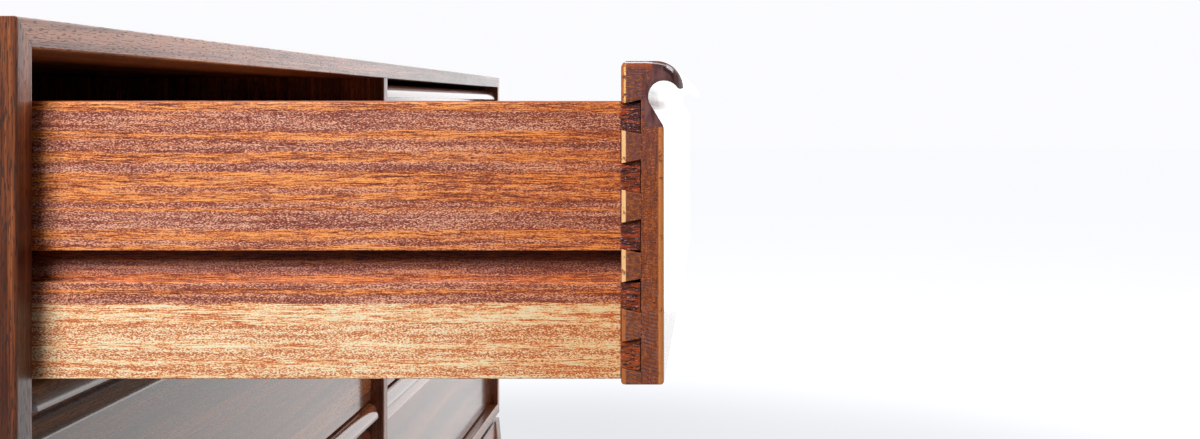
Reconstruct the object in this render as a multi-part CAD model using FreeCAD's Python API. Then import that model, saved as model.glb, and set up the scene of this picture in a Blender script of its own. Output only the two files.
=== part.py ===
import FreeCAD, Part
import math
import os

# Six-drawer dresser on a splayed leg frame. Millimetres, +Z up, the front faces -Y and +X is to
# the right of someone who faces it. Z = 0 is the floor, and the origin is the bottom centre of the
# whole dresser's box with its upper left drawer standing open.

# Case
case_width = 1520.0
case_depth = 460.0
board = 16.0
board_arris = 1.5
back_panel = 6.0
back_rebate = 9.0
housing_depth = 5.0
housing_stop = 18.0
housing_gap = 0.5
back_panel_gap = 0.2

# Gaps round the drawer fronts
top_gap = 6.0
row_gap = 2.5
side_gap = 1.5
row_count = 3
front_inset = 13.0

# Drawer front and its carved lip
front_height = 165.5
front_thickness = 22.0
front_arris = 1.5
front_top_round = 3.5
end_round = 2.5
end_chamfer_width = 2.3
front_overhang = 1.5
lip_reach = 9.7
lip_round_back = 4.0
lip_nose_sag = 0.5
lip_nose_angle = 33.0
lip_end_back = 6.0
lip_end_depth = 10.0
cove_radius = 8.1
cove_drop = 18.1
slope_drop = 33.5
slope_blend = 6.0

# Drawer box
side_thickness = 12.5
side_height = 142.5
side_drop = 20.4
side_top_round = 1.6
box_depth = 430.0
back_thickness = 12.0
back_drop = 8.0
drawer_open = 335.0

# Half-blind dovetails at the front corner
tail_count = 5
first_tail = 8.2
last_tail = 12.4
tail_narrow = 13.3
tail_length = 10.2
tail_slope = 12.0
joint_clearance = 0.15
tip_gap = 0.5
shoulder_gap = 0.2

# Through dovetails at the back corner
rear_pin_count = 3
rear_pitch = 38.0
rear_pin_narrow = 9.0

# Drawer bottom in its grooves
bottom_panel = 6.0
bottom_rise = 10.0
bottom_groove = 6.0
bottom_clearance = 0.3

# Side groove and the runner in it
groove_height = 16.2
groove_depth = 6.5
groove_arris = 0.5
runner_top_clearance = 0.3
runner_bottom_clearance = 0.7
runner_face_clearance = 0.8
runner_stop_gap = 0.6
runner_end_gap = 2.4
runner_chamfer = 1.2

# Wood screws
screw_shank = 1.9
screw_head = 3.9
screw_head_depth = 2.2
screw_slot = 0.9
pilot_clearance = 0.05
head_sink = 0.2
runner_screw_length = 15.0
runner_screw_count = 3
runner_screw_inset = 45.0
back_screw_length = 15.0
back_screw_count = 6
back_screw_corner = 70.0
base_screw_length = 38.0

# Leg frame
base_height = 203.5
shadow_gap = 8.0
leg_top_width = 36.0
leg_top_depth = 20.0
leg_foot_width = 24.0
leg_foot_depth = 15.0
leg_splay = 16.0
leg_round = 4.0
rail_height = 45.0
rail_thickness = 16.0
rail_setback = 2.0
tenon_length = 11.0
tenon_thickness = 8.0
tenon_shoulder = 8.0
tenon_clearance = 0.15
block_size = 48.0
block_toe = 6.0
block_height = 19.0
stretcher_height = 38.0
spacer_size = 30.0
glide_radius = 6.0
glide_height = 3.0
glide_arris = 0.8

# How far a cutting shape goes past what it cuts
overcut = 1.0

# Derived sizes
case_base_z = base_height
row_pitch = front_height + row_gap
case_height = 2.0 * board + top_gap + row_count * row_pitch
case_top_z = case_base_z + case_height
half_width = case_width / 2.0
bay_width = (case_width - 3.0 * board) / 2.0
front_width = bay_width - 2.0 * side_gap
box_width = front_width - 2.0 * front_overhang
inner_depth = case_depth - back_panel
side_rise = front_height - side_drop - side_height
tail_pitch = (side_height - first_tail - last_tail) / (tail_count - 1)
tail_tan = math.tan(math.radians(tail_slope))
groove_pin = first_tail + (tail_count // 2 + 0.5) * tail_pitch
groove_low = groove_pin + (tail_pitch - tail_narrow) / 2.0
groove_high = groove_low - groove_height
side_end = box_depth
tip_y = front_thickness - tail_length + tip_gap
shoulder_y = front_thickness + shoulder_gap
panel_low = bottom_rise
panel_high = bottom_rise + bottom_panel
runner_height = groove_height - runner_top_clearance - runner_bottom_clearance
runner_width = side_gap + front_overhang + groove_depth - runner_face_clearance
runner_front = front_inset + front_thickness + runner_stop_gap
runner_length = box_depth - front_thickness - runner_stop_gap - runner_end_gap
frame_top = base_height - shadow_gap

# The whole dresser's box along Y: the open drawer's lip in front, the back feet behind.
reach_front = front_inset - drawer_open - lip_reach
reach_back = case_depth + leg_splay
centre_shift = -(reach_front + reach_back) / 2.0

COLUMNS = {"left": -(board / 2.0 + bay_width), "right": board / 2.0}
ROWS = {"bottom": 0, "middle": 1, "top": 2}


def in_plane(plane, a, b):
    """Point a, b of the named plane as a vector."""
    if plane == "YZ":
        return FreeCAD.Vector(0.0, a, b)
    if plane == "XZ":
        return FreeCAD.Vector(a, 0.0, b)
    return FreeCAD.Vector(a, b, 0.0)


def box(x_low, x_high, y_low, y_high, z_low, z_high):
    """Block between two limits on each axis."""
    corner = FreeCAD.Vector(x_low, y_low, z_low)
    return Part.makeBox(x_high - x_low, y_high - y_low, z_high - z_low, corner)


def prism(edges, direction):
    """Closed outline pushed along a direction."""
    return Part.Face(Part.Wire(edges)).extrude(direction)


def polygon(plane, points):
    """Edges of a closed straight-sided outline."""
    corners = [in_plane(plane, a, b) for a, b in points]
    return [Part.makeLine(p, q) for p, q in zip(corners, corners[1:] + corners[:1])]


def corner_arc(before, at, after, radius):
    """Start, middle and end of the arc that rounds one corner of an outline."""
    into = (before - at).normalize()
    out = (after - at).normalize()
    half = into.getAngle(out) / 2.0
    reach = radius / math.tan(half)
    bisector = (into + out).normalize()
    middle = at + bisector * (radius / math.sin(half) - radius)
    return at + into * reach, middle, at + out * reach


def rounded(plane, corners):
    """Edges of a closed outline whose corners (a, b, radius) are rounded where radius is set."""
    points = [in_plane(plane, a, b) for a, b, radius in corners]
    stops = []
    for i, (a, b, radius) in enumerate(corners):
        if radius > 0.0:
            after = points[(i + 1) % len(points)]
            stops.append(corner_arc(points[i - 1], points[i], after, radius))
        else:
            stops.append((points[i], None, points[i]))
    edges = []
    for i, (start, middle, end) in enumerate(stops):
        if middle is not None:
            edges.append(Part.Arc(start, middle, end).toShape())
        following = stops[(i + 1) % len(stops)][0]
        if end.distanceToPoint(following) > 1e-6:
            edges.append(Part.makeLine(end, following))
    return edges


def mirrored_x(shape, x_plane):
    """Copy of a shape mirrored in the plane X = x_plane."""
    return shape.mirror(FreeCAD.Vector(x_plane, 0.0, 0.0), FreeCAD.Vector(1.0, 0.0, 0.0))


def screw(tip_to_head, at, length):
    """Slotted countersunk wood screw whose flat head faces along tip_to_head at a point."""
    points = [(0.0, -length), (screw_shank * 0.55, -length), (screw_shank, -length * 0.7)]
    points += [(screw_shank, -screw_head_depth), (screw_head, 0.0), (0.0, 0.0)]
    outline = polygon("XZ", points)
    turned = Part.Face(Part.Wire(outline)).revolve(
        FreeCAD.Vector(0.0, 0.0, 0.0), FreeCAD.Vector(0.0, 0.0, 1.0), 360.0)
    half_slot = screw_slot / 2.0
    slot = box(-screw_head, screw_head, -half_slot, half_slot, -screw_slot, overcut)
    turned = turned.cut(slot)
    turn = FreeCAD.Rotation(FreeCAD.Vector(0.0, 0.0, 1.0), tip_to_head)
    turned.Placement = FreeCAD.Placement(at, turn)
    return turned


def screw_hole(tip_to_head, at, length):
    """Room for one screw, with its countersink."""
    shank = screw_shank + pilot_clearance
    head = screw_head + pilot_clearance
    depth = screw_head_depth
    points = [(0.0, -length - pilot_clearance), (shank, -length - pilot_clearance)]
    points += [(shank, -depth), (head, 0.0), (head, 2.0 * overcut), (0.0, 2.0 * overcut)]
    turned = Part.Face(Part.Wire(polygon("XZ", points))).revolve(
        FreeCAD.Vector(0.0, 0.0, 0.0), FreeCAD.Vector(0.0, 0.0, 1.0), 360.0)
    turn = FreeCAD.Rotation(FreeCAD.Vector(0.0, 0.0, 1.0), tip_to_head)
    turned.Placement = FreeCAD.Placement(at, turn)
    return turned


def tail_wedge(x_low, x_high, z_centre, clearance, y_far):
    """One half-blind tail, widening from the front's inner face towards its tip."""
    def half(y):
        return tail_narrow / 2.0 - clearance + (front_thickness - y) * tail_tan
    y_tip = front_thickness - tail_length + (tip_gap if clearance else 0.0)
    points = [(y_far, z_centre - half(y_far)), (y_tip, z_centre - half(y_tip))]
    points += [(y_tip, z_centre + half(y_tip)), (y_far, z_centre + half(y_far))]
    wedge = prism(polygon("YZ", points), FreeCAD.Vector(x_high - x_low, 0.0, 0.0))
    wedge.translate(FreeCAD.Vector(x_low, 0.0, 0.0))
    return wedge


def rear_pin(x_low, x_high, z_centre, clearance, overshoot):
    """One through pin of the drawer back, narrowing towards the outer face of the back."""
    y_low = side_end - back_thickness - clearance
    y_high = side_end + overshoot

    def half(y):
        return rear_pin_narrow / 2.0 + clearance + (side_end - y) * tail_tan
    points = [(y_low, z_centre - half(y_low)), (y_high, z_centre - half(y_high))]
    points += [(y_high, z_centre + half(y_high)), (y_low, z_centre + half(y_low))]
    pin = prism(polygon("YZ", points), FreeCAD.Vector(x_high - x_low, 0.0, 0.0))
    pin.translate(FreeCAD.Vector(x_low, 0.0, 0.0))
    return pin


def tail_heights():
    """Heights of the tails' centres above the side's lower edge."""
    return [side_height - first_tail - i * tail_pitch for i in range(tail_count)]


def rear_pin_heights():
    """Heights of the back's pins above the side's lower edge, clear of the runner groove."""
    groove_centre = side_height - (groove_low + groove_high) / 2.0
    lowest = groove_centre - rear_pitch / 2.0
    return [lowest + i * rear_pitch for i in range(rear_pin_count)]


def front_outline():
    """Section of the front: a thick board with a hooked lip over a scooped finger cove."""
    top = front_height
    lip_radius = lip_reach + lip_round_back
    cove_z = top - cove_drop
    nose = math.radians(lip_nose_angle)
    lip_mid = (lip_round_back - lip_radius * math.sin(math.pi / 4.0),
               top - lip_radius * (1.0 - math.cos(math.pi / 4.0)))
    lip_tip = (-lip_reach, top - lip_radius)
    nose_in = (-cove_radius * math.cos(nose), cove_z + cove_radius * math.sin(nose))
    nose_mid = ((lip_tip[0] + nose_in[0]) / 2.0, min(lip_tip[1], nose_in[1]) - lip_nose_sag)

    # The slope leaves the cove at a tangent and meets the outer face.
    foot = (0.0, top - slope_drop)
    rise = cove_z - foot[1]
    aim = math.acos(cove_radius / rise)
    leave = (cove_radius * math.sin(aim), cove_z - cove_radius * math.cos(aim))
    deepest = (cove_radius * math.cos(math.radians(20.0)),
               cove_z + cove_radius * math.sin(math.radians(20.0)))

    def at(point):
        return in_plane("YZ", point[0], point[1])

    blend = corner_arc(at(leave), at(foot), at((0.0, 0.0)), slope_blend)
    low_out = corner_arc(at(foot), at((0.0, 0.0)), at((1.0, 0.0)), front_arris)
    low_in = corner_arc(at((0.0, 0.0)), at((front_thickness, 0.0)),
                        at((front_thickness, 1.0)), front_arris)
    high_in = corner_arc(at((front_thickness, 0.0)), at((front_thickness, top)),
                         at((0.0, top)), front_top_round)
    return [
        Part.Arc(at((lip_round_back, top)), at(lip_mid), at(lip_tip)).toShape(),
        Part.Arc(at(lip_tip), at(nose_mid), at(nose_in)).toShape(),
        Part.Arc(at(nose_in), at(deepest), at(leave)).toShape(),
        Part.makeLine(at(leave), blend[0]),
        Part.Arc(*blend).toShape(),
        Part.makeLine(blend[2], low_out[0]),
        Part.Arc(*low_out).toShape(),
        Part.makeLine(low_out[2], low_in[0]),
        Part.Arc(*low_in).toShape(),
        Part.makeLine(low_in[2], high_in[0]),
        Part.Arc(*high_in).toShape(),
        Part.makeLine(high_in[2], at((lip_round_back, top))),
    ]


def front_end_cuts():
    """What is taken off the left end of a front: arrises and the rounded end of the lip."""
    top = front_height
    cove_z = top - cove_drop

    # Rounded outer arris, from the bottom up to the open cove.
    swept = end_round * (1.0 - math.sqrt(0.5))
    arris = [
        Part.Arc(in_plane("XY", 0.0, end_round), in_plane("XY", swept, swept),
                 in_plane("XY", end_round, 0.0)).toShape(),
        Part.makeLine(in_plane("XY", end_round, 0.0), in_plane("XY", -overcut, -overcut)),
        Part.makeLine(in_plane("XY", -overcut, -overcut), in_plane("XY", 0.0, end_round)),
    ]
    outer = prism(arris, FreeCAD.Vector(0.0, 0.0, cove_z + overcut))
    outer.translate(FreeCAD.Vector(0.0, 0.0, -overcut))

    # Flat inner chamfer, as deep as the front stands out past the drawer side.
    inner_y = front_thickness - end_chamfer_width
    wedge = [(0.0, inner_y), (front_overhang, front_thickness),
             (front_overhang, front_thickness + overcut),
             (-overcut, front_thickness + overcut), (-overcut, inner_y)]
    inner = prism(polygon("XY", wedge), FreeCAD.Vector(0.0, 0.0, top + 2.0 * overcut))
    inner.translate(FreeCAD.Vector(0.0, 0.0, -overcut))

    # The lip draws back in plan on one long arc.
    reach = lip_end_back + lip_reach
    radius = (reach ** 2 + lip_end_depth ** 2) / (2.0 * lip_end_depth)
    sweep = math.asin(reach / radius) / 2.0
    middle = (radius - radius * math.cos(sweep), lip_end_back - radius * math.sin(sweep))
    plan = [
        Part.Arc(in_plane("XY", 0.0, lip_end_back), in_plane("XY", *middle),
                 in_plane("XY", lip_end_depth, -lip_reach)).toShape(),
        Part.makeLine(in_plane("XY", lip_end_depth, -lip_reach),
                      in_plane("XY", lip_end_depth, -lip_reach - overcut)),
        Part.makeLine(in_plane("XY", lip_end_depth, -lip_reach - overcut),
                      in_plane("XY", -overcut, -lip_reach - overcut)),
        Part.makeLine(in_plane("XY", -overcut, -lip_reach - overcut),
                      in_plane("XY", -overcut, lip_end_back)),
        Part.makeLine(in_plane("XY", -overcut, lip_end_back),
                      in_plane("XY", 0.0, lip_end_back)),
    ]
    lip = prism(plan, FreeCAD.Vector(0.0, 0.0, cove_drop + overcut))
    lip.translate(FreeCAD.Vector(0.0, 0.0, cove_z))
    return [outer, inner, lip]


def drawer_front():
    """Front with lip, blind sockets for the tails and a groove for the bottom."""
    front = prism(front_outline(), FreeCAD.Vector(front_width, 0.0, 0.0))
    cuts = front_end_cuts()
    depth = front_overhang + side_thickness
    for height in tail_heights():
        cuts.append(tail_wedge(-overcut, depth, side_rise + height, 0.0,
                               front_thickness + overcut))
    cuts += [mirrored_x(cut, front_width / 2.0) for cut in cuts]
    groove_y = front_thickness - bottom_groove
    groove_low_z = side_rise + panel_low
    cuts.append(box(depth - bottom_groove, front_width - depth + bottom_groove,
                    groove_y, front_thickness + overcut, groove_low_z, side_rise + panel_high))
    return front.cut(cuts)


def side_section():
    """Section of a left side, X across and Z up: rounded top, runner and bottom grooves."""
    t = side_thickness
    g_low = side_height - groove_low
    g_high = side_height - groove_high
    return rounded("XZ", [
        (0.0, 0.0, groove_arris), (t, 0.0, groove_arris),
        (t, panel_low, 0.0), (t - bottom_groove, panel_low, 0.0),
        (t - bottom_groove, panel_high, 0.0), (t, panel_high, 0.0),
        (t, side_height, side_top_round), (0.0, side_height, side_top_round),
        (0.0, g_high, groove_arris), (groove_depth, g_high, 0.0),
        (groove_depth, g_low, 0.0), (0.0, g_low, groove_arris),
    ])


def drawer_side():
    """Left side in the front's own place: tails in front, sockets for the back's pins behind."""
    side = prism(side_section(), FreeCAD.Vector(0.0, side_end - tip_y, 0.0))
    side.translate(FreeCAD.Vector(0.0, tip_y, 0.0))
    waste = box(-overcut, side_thickness + overcut, tip_y - overcut, shoulder_y,
                -overcut, side_height + overcut)
    tails = [tail_wedge(-2.0 * overcut, side_thickness + 2.0 * overcut, height,
                        joint_clearance, shoulder_y + overcut) for height in tail_heights()]
    waste = waste.cut(tails)
    pins = [rear_pin(-overcut, side_thickness + overcut, height, joint_clearance, overcut)
            for height in rear_pin_heights()]
    side = side.cut([waste] + pins)
    side.translate(FreeCAD.Vector(front_overhang, 0.0, side_rise))
    return side


def drawer_back():
    """Back board between the sides, its pins passing through them."""
    high = side_height - back_drop
    y_low = side_end - back_thickness
    back = prism(rounded("YZ", [
        (y_low, panel_high, 0.0), (side_end, panel_high, 0.0),
        (side_end, high, side_top_round), (y_low, high, side_top_round)]),
        FreeCAD.Vector(box_width, 0.0, 0.0))
    pins = [rear_pin(-2.0 * overcut, side_thickness + 2.0 * overcut, height, 0.0,
                     2.0 * overcut) for height in rear_pin_heights()]
    waste = box(-overcut, side_thickness + shoulder_gap, y_low - overcut, side_end + overcut,
                panel_high - overcut, high + overcut).cut(pins)
    back = back.cut([waste, mirrored_x(waste, box_width / 2.0)])
    back.translate(FreeCAD.Vector(front_overhang, 0.0, side_rise))
    return back


def drawer_bottom():
    """Thin panel held in the grooves of the front and sides, under the back."""
    x_low = front_overhang + side_thickness - bottom_groove + bottom_clearance
    y_low = front_thickness - bottom_groove + bottom_clearance
    return box(x_low, front_width - x_low, y_low, side_end,
               side_rise + panel_low, side_rise + panel_high)


def drawer_parts():
    """The five pieces of one drawer, with the front's lower left outer corner at the origin."""
    side = drawer_side()
    return {
        "front": drawer_front(),
        "side_left": side,
        "side_right": mirrored_x(side, front_width / 2.0),
        "back": drawer_back(),
        "bottom": drawer_bottom(),
    }


def row_height(row):
    """Height of a row's drawer fronts' lower edges above the floor."""
    return case_base_z + board + row_gap + ROWS[row] * row_pitch


def runner_z(row):
    """Height of a row's runners' lower faces above the floor."""
    return row_height(row) + side_rise + side_height - groove_low + runner_bottom_clearance


def runner_screw_places(row):
    """Depths and height of the screws of one runner."""
    height = runner_z(row) + runner_height / 2.0
    span = runner_length - 2.0 * runner_screw_inset
    step = span / (runner_screw_count - 1)
    first = runner_front + runner_screw_inset
    return [(first + i * step, height) for i in range(runner_screw_count)]


def runner(row, wall_x, toward):
    """Hardwood strip on one wall; toward is +1 where it stands out to +X."""
    w = runner_width
    c = runner_chamfer
    low = runner_z(row)
    high = low + runner_height
    points = [(0.0, low), (w - c, low), (w, low + c), (w, high - c), (w - c, high), (0.0, high)]
    points = [(wall_x + toward * a, b) for a, b in points]
    strip = prism(polygon("XZ", points), FreeCAD.Vector(0.0, runner_length, 0.0))
    strip.translate(FreeCAD.Vector(0.0, runner_front, 0.0))
    return strip.cut(runner_screw_rooms(row, wall_x, toward))


def runner_screw_rooms(row, wall_x, toward):
    """Screw holes of one runner, going on into its wall."""
    out = FreeCAD.Vector(toward, 0.0, 0.0)
    head_x = wall_x + toward * (runner_width - head_sink)
    return [screw_hole(out, FreeCAD.Vector(head_x, y, z), runner_screw_length)
            for y, z in runner_screw_places(row)]


def runner_screws(row, wall_x, toward):
    """Screws of one runner."""
    out = FreeCAD.Vector(toward, 0.0, 0.0)
    head_x = wall_x + toward * (runner_width - head_sink)
    return [screw(out, FreeCAD.Vector(head_x, y, z), runner_screw_length)
            for y, z in runner_screw_places(row)]


def runner_walls():
    """Wall face and direction of each group of runners."""
    inner = half_width - board
    half = board / 2.0
    return {
        "runners_side_left": (-inner, 1.0),
        "runners_partition_left": (-half, -1.0),
        "runners_partition_right": (half, 1.0),
        "runners_side_right": (inner, -1.0),
    }


def back_screw_places():
    """Points round the edge of the back panel."""
    inset = board - back_rebate / 2.0
    first = -half_width + back_screw_corner
    step = -2.0 * first / (back_screw_count - 1)
    places = []
    for i in range(back_screw_count):
        x = first + i * step
        places += [(x, case_base_z + inset), (x, case_top_z - inset)]
    for share in (0.27, 0.73):
        z = case_base_z + share * case_height
        places += [(-half_width + inset, z), (half_width - inset, z), (0.0, z)]
    return places


def back_screw_rooms():
    """Screw holes of the back panel, going on into the boards."""
    out = FreeCAD.Vector(0.0, 1.0, 0.0)
    return [screw_hole(out, FreeCAD.Vector(x, case_depth - head_sink, z), back_screw_length)
            for x, z in back_screw_places()]


def board_depth_section(plane):
    """Section of a case board, outer face at 0, with the rebate for the back panel."""
    ledge = board - back_rebate
    corners = [(0.0, 0.0, board_arris), (0.0, board, board_arris),
               (inner_depth, board, 0.0), (inner_depth, ledge, 0.0),
               (case_depth, ledge, 0.0), (case_depth, 0.0, board_arris)]
    if plane == "XY":
        corners = [(b, a, radius) for a, b, radius in corners]
    return rounded(plane, corners)


def case_bottom():
    """Lower board, mitred at both ends, housed for the partition."""
    blank = prism(board_depth_section("YZ"), FreeCAD.Vector(case_width, 0.0, 0.0))
    blank.translate(FreeCAD.Vector(-half_width, 0.0, 0.0))
    mitre = polygon("XZ", [(-half_width, 0.0), (half_width, 0.0),
                           (half_width - board, board), (-half_width + board, board)])
    keep = prism(mitre, FreeCAD.Vector(0.0, case_depth, 0.0))
    panel = blank.common(keep)
    half = board / 2.0
    panel = panel.cut(box(-half, half, housing_stop, case_depth,
                          board - housing_depth, board + overcut))
    panel.translate(FreeCAD.Vector(0.0, 0.0, case_base_z))
    return panel


def case_top():
    """Upper board: the lower one turned over."""
    middle = FreeCAD.Vector(0.0, 0.0, (case_base_z + case_top_z) / 2.0)
    return case_bottom().mirror(middle, FreeCAD.Vector(0.0, 0.0, 1.0))


def case_side():
    """Left side board, mitred above and below."""
    blank = prism(board_depth_section("XY"), FreeCAD.Vector(0.0, 0.0, case_height))
    blank.translate(FreeCAD.Vector(-half_width, 0.0, case_base_z))
    mitre = polygon("XZ", [
        (-half_width, case_base_z), (-half_width + board, case_base_z + board),
        (-half_width + board, case_top_z - board), (-half_width, case_top_z)])
    return blank.common(prism(mitre, FreeCAD.Vector(0.0, case_depth, 0.0)))


def case_partition():
    """Upright between the two columns, with its ends housed in the top and bottom boards."""
    half = board / 2.0
    low = case_base_z + board
    high = case_top_z - board
    upright = prism(rounded("XY", [
        (-half, 0.0, board_arris), (half, 0.0, board_arris),
        (half, inner_depth, 0.0), (-half, inner_depth, 0.0)]),
        FreeCAD.Vector(0.0, 0.0, high - low))
    upright.translate(FreeCAD.Vector(0.0, 0.0, low))
    tongue = box(-half, half, housing_stop + housing_gap, inner_depth,
                 low - housing_depth, high + housing_depth)
    return upright.fuse(tongue).removeSplitter()


def case_back():
    """Thin back panel, let into the rebates."""
    inset = board - back_rebate + back_panel_gap
    return box(-half_width + inset, half_width - inset, inner_depth, case_depth,
               case_base_z + inset, case_top_z - inset)


def leg_view(plane, foot, top, along):
    """Front left leg as seen from the front or the side, carried across the leg."""
    outline = polygon(plane, [
        (-leg_splay, glide_height), (foot - leg_splay, glide_height),
        (top, frame_top), (0.0, frame_top)])
    solid = prism(outline, along * (leg_splay + leg_top_width))
    solid.translate(along * -leg_splay)
    return solid


def leg_from_front():
    """What the leg's front outline sweeps from front to back."""
    return leg_view("XZ", leg_foot_width, leg_top_width, FreeCAD.Vector(0.0, 1.0, 0.0))


def leg_from_side():
    """What the leg's side outline sweeps from left to right."""
    return leg_view("YZ", leg_foot_depth, leg_top_depth, FreeCAD.Vector(1.0, 0.0, 0.0))


def leg_blank():
    """Front left leg: oblong, tapered and leaning out to the front and left."""
    leg = leg_from_front().common(leg_from_side())
    slants = [edge for edge in leg.Edges
              if abs(edge.BoundBox.ZLength - (frame_top - glide_height)) < 1e-3]
    leg = leg.makeFillet(leg_round, slants)
    leg.translate(FreeCAD.Vector(-half_width, 0.0, 0.0))
    return leg


def four_ways(shape):
    """A front left shape and its mirror images at the other three corners."""
    middle = FreeCAD.Vector(0.0, case_depth / 2.0, 0.0)
    right = mirrored_x(shape, 0.0)
    along_y = FreeCAD.Vector(0.0, 1.0, 0.0)
    return {
        "front_left": shape,
        "front_right": right,
        "back_left": shape.mirror(middle, along_y),
        "back_right": right.mirror(middle, along_y),
    }


def tenon(lengthwise, clearance):
    """Tenon of a rail at the front left leg, running into the leg along X or Y."""
    low = frame_top - rail_height + tenon_shoulder - clearance
    high = frame_top - tenon_shoulder + clearance
    middle = rail_setback + rail_thickness / 2.0
    near = middle - tenon_thickness / 2.0 - clearance
    far = middle + tenon_thickness / 2.0 + clearance
    size = leg_top_width if lengthwise == "X" else leg_top_depth
    start = size - tenon_length - clearance
    reach = size + overcut
    if lengthwise == "X":
        return box(-half_width + start, -half_width + reach, near, far, low, high)
    return box(-half_width + near, -half_width + far, start, reach, low, high)


def leg():
    """Front left leg with its two mortises."""
    return leg_blank().cut([tenon("X", tenon_clearance), tenon("Y", tenon_clearance)])


def rail_front():
    """Rail between the front legs."""
    rail = box(-half_width + leg_foot_width - leg_splay, half_width - leg_foot_width + leg_splay,
               rail_setback, rail_setback + rail_thickness, frame_top - rail_height, frame_top)
    shoulder = leg_from_front()
    shoulder.translate(FreeCAD.Vector(-half_width, 0.0, 0.0))
    rail = rail.cut([shoulder, mirrored_x(shoulder, 0.0)])
    rail = max(rail.Solids, key=lambda solid: solid.Volume)
    pin = tenon("X", 0.0)
    return rail.fuse([pin, mirrored_x(pin, 0.0)]).removeSplitter()


def rail_side():
    """Rail between the left legs."""
    rail = box(-half_width + rail_setback, -half_width + rail_setback + rail_thickness,
               leg_foot_depth - leg_splay, case_depth - leg_foot_depth + leg_splay,
               frame_top - rail_height, frame_top)
    middle = FreeCAD.Vector(0.0, case_depth / 2.0, 0.0)
    along_y = FreeCAD.Vector(0.0, 1.0, 0.0)
    shoulder = leg_from_side()
    shoulder.translate(FreeCAD.Vector(-half_width, 0.0, 0.0))
    rail = rail.cut([shoulder, shoulder.mirror(middle, along_y)])
    rail = max(rail.Solids, key=lambda solid: solid.Volume)
    pin = tenon("Y", 0.0)
    return rail.fuse([pin, pin.mirror(middle, along_y)]).removeSplitter()


def stretcher():
    """Cross rail that carries the middle of the case."""
    half = rail_thickness / 2.0
    inner = rail_setback + rail_thickness
    return box(-half, half, inner, case_depth - inner, frame_top - stretcher_height, frame_top)


def block_screw_place():
    """Where the front left corner block is screwed up into the case."""
    toe_middle = rail_setback + rail_thickness + (block_size + block_toe) / 2.0
    offset = (leg_top_width + toe_middle) / 2.0
    return FreeCAD.Vector(-half_width + offset, offset, frame_top - block_height + head_sink)


def corner_block():
    """Three-cornered brace glued inside the front left corner of the frame."""
    inner = rail_setback + rail_thickness
    outline = polygon("XY", [(inner, inner), (inner + block_size, inner),
                             (inner + block_size, inner + block_toe),
                             (inner + block_toe, inner + block_size), (inner, inner + block_size)])
    block = prism(outline, FreeCAD.Vector(0.0, 0.0, block_height))
    block.translate(FreeCAD.Vector(-half_width, 0.0, frame_top - block_height))
    return block.cut([leg_blank(), base_screw_room()])


def corner_spacer():
    """Pad on the front left corner block that makes the shadow gap under the case."""
    place = block_screw_place()
    half = spacer_size / 2.0
    pad = box(place.x - half, place.x + half, place.y - half, place.y + half,
              frame_top, base_height)
    return pad.cut(base_screw_room())


def base_screw_room():
    """Screw hole up through the block and spacer into the case."""
    return screw_hole(FreeCAD.Vector(0.0, 0.0, -1.0), block_screw_place(), base_screw_length)


def base_screw():
    """Screw up through the front left block into the case."""
    return screw(FreeCAD.Vector(0.0, 0.0, -1.0), block_screw_place(), base_screw_length)


def stretcher_spacers():
    """Two pads on the stretcher."""
    half = rail_thickness / 2.0
    pads = []
    for y in (case_depth * 0.25, case_depth * 0.75):
        pads.append(box(-half, half, y - spacer_size, y + spacer_size, frame_top, base_height))
    return pads


def glide():
    """Round pad under the front left foot."""
    x = -half_width - leg_splay + leg_foot_width / 2.0
    y = -leg_splay + leg_foot_depth / 2.0
    foot = Part.makeCylinder(glide_radius, glide_height, FreeCAD.Vector(x, y, 0.0))
    rim = [edge for edge in foot.Edges
           if edge.BoundBox.ZMax < 1e-3 and edge.BoundBox.XLength > glide_radius]
    return foot.makeChamfer(glide_arris, rim)


def save(name, shape):
    """Write one piece in the dresser's own frame."""
    placed = shape.copy()
    placed.translate(FreeCAD.Vector(0.0, centre_shift, 0.0))
    placed.exportStep("parts/%s.step" % name)


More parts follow.
